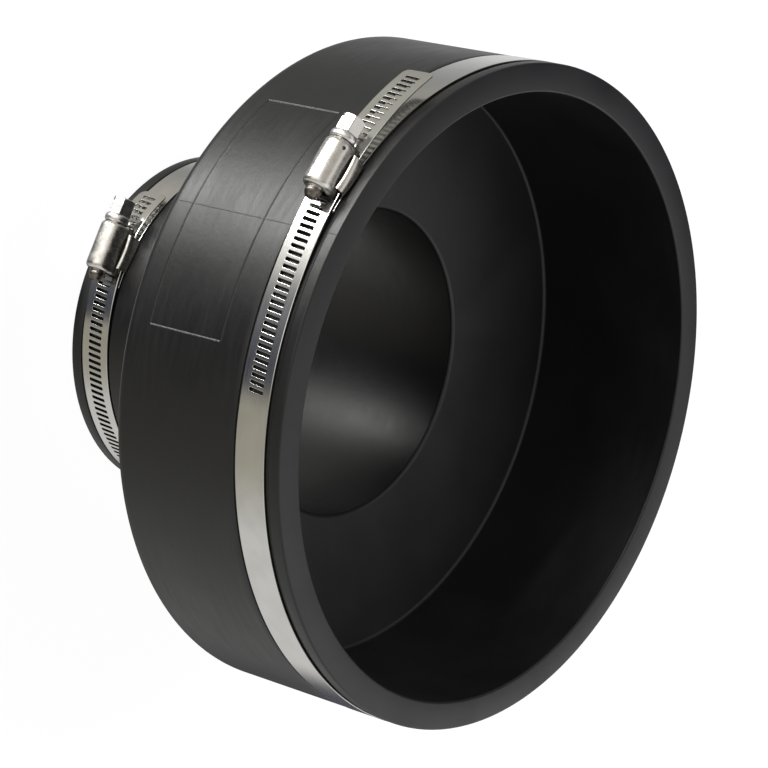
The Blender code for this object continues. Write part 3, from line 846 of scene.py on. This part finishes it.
def make_world():
    """White to the camera, the studio above to gloss, and an even soft light to everything else."""
    world = bpy.data.worlds.new("studio")
    bpy.context.scene.world = world
    world.use_nodes = True
    world.node_tree.nodes.clear()
    nodes = Nodes(world.node_tree)
    direction = nodes.add("ShaderNodeTexCoord").outputs["Generated"]
    path = nodes.add("ShaderNodeLightPath")
    colour = nodes.mix(path.outputs["Is Glossy Ray"], grey(0.10), studio_colour(nodes, direction))
    colour = nodes.mix(path.outputs["Is Camera Ray"], colour, grey(1.0))
    background = nodes.add("ShaderNodeBackground", {"Color": colour})
    output = nodes.add("ShaderNodeOutputWorld")
    nodes.feed(output.inputs["Surface"], background.outputs["Background"])


def add_softbox(name, direction, distance, width, height, radiance, tint, up):
    """Area lamp aimed at the middle of the part; its power follows from its brightness."""
    data = bpy.data.lights.new(name, "AREA")
    data.shape = "RECTANGLE"
    data.size = width
    data.size_y = height
    data.energy = radiance * width * height * math.pi
    data.color = tint
    lamp = bpy.data.objects.new(name, data)
    bpy.context.scene.collection.objects.link(lamp)
    back = direction.normalized()
    side = up.cross(back).normalized()
    turn = Matrix((side, back.cross(side), back)).transposed().to_4x4()
    middle = Vector((0.0, 0.0, SLEEVE_HEIGHT / 2))
    lamp.matrix_world = Matrix.Translation(middle + back * distance) @ turn
    lamp.visible_camera = False
    return lamp


def make_lights():
    """A long bright card that only gloss sees, and a soft lamp above that gloss doesn't see."""
    card = add_softbox("key_reflection_card", KEY_DIRECTION, distance=0.9, width=0.90, height=0.17,
                       radiance=22.0, tint=(1.0, 1.0, 0.98), up=CAMERA_UP)
    card.visible_diffuse = False
    over = add_softbox("overhead_softbox", OVERHEAD_DIRECTION, distance=2.0, width=1.3, height=1.3,
                       radiance=3.3, tint=(0.99, 0.98, 1.06), up=Vector((0.0, 1.0, 0.0)))
    over.visible_glossy = False


def make_floor():
    """White floor that keeps the soft shadow; gloss, lamps and a camera below it see through."""
    bm = bmesh.new()
    sides = ((-1, -1), (1, -1), (1, 1), (-1, 1))
    bm.faces.new([bm.verts.new((x * FLOOR_HALF, y * FLOOR_HALF, -FLOOR_DROP)) for x, y in sides])
    mesh = bpy.data.meshes.new("floor")
    bm.to_mesh(mesh)
    bm.free()
    floor = bpy.data.objects.new("floor", mesh)
    bpy.context.scene.collection.objects.link(floor)
    material = bpy.data.materials.new("floor_white")
    material.use_nodes = True
    material.node_tree.nodes.clear()
    nodes = Nodes(material.node_tree)
    paint = nodes.add("ShaderNodeBsdfDiffuse", {"Color": grey(FLOOR_SHADE)})
    glow = nodes.add("ShaderNodeEmission", {"Color": grey(1.0), "Strength": FLOOR_GLOW})
    both = nodes.add("ShaderNodeAddShader")
    nodes.feed(both.inputs[0], paint.outputs[0])
    nodes.feed(both.inputs[1], glow.outputs[0])
    clear = nodes.add("ShaderNodeBsdfTransparent")
    path = nodes.add("ShaderNodeLightPath")
    shown = nodes.add("ShaderNodeMixShader")
    underside = nodes.add("ShaderNodeNewGeometry").outputs["Backfacing"]
    from_above = nodes.math("SUBTRACT", path.outputs["Is Camera Ray"], underside)
    nodes.feed(shown.inputs[0], from_above)
    nodes.feed(shown.inputs[1], clear.outputs[0])
    nodes.feed(shown.inputs[2], both.outputs[0])
    output = nodes.add("ShaderNodeOutputMaterial")
    nodes.feed(output.inputs["Surface"], shown.outputs[0])
    mesh.materials.append(material)


def make_camera():
    """The photograph's view, framed by focal length alone."""
    data = bpy.data.cameras.new("photo_camera")
    data.sensor_width = SENSOR
    data.lens = FOCAL_PIXELS / IMAGE_PIXELS * SENSOR
    camera = bpy.data.objects.new("photo_camera", data)
    bpy.context.scene.collection.objects.link(camera)
    axes = Matrix((CAMERA_RIGHT, CAMERA_RIGHT.cross(CAMERA_FORWARD), -CAMERA_FORWARD))
    turn = axes.transposed().to_4x4()
    camera.matrix_world = Matrix.Translation(CAMERA_PLACE) @ turn
    bpy.context.scene.camera = camera


def main():
    bpy.context.scene.view_settings.view_transform = "Standard"
    make_sleeve(make_rubber())
    strip_steel = make_strip_steel()
    stamped_steel = make_stamped_steel()
    screw_steel = make_screw_steel()
    for name in CLAMPS:
        strip = Strip(name)
        make_band(strip, strip_steel)
        make_saddle(strip, stamped_steel)
        make_housing(strip, stamped_steel)
        make_screw(strip, screw_steel)
    make_floor()
    make_world()
    make_lights()
    make_camera()


main()
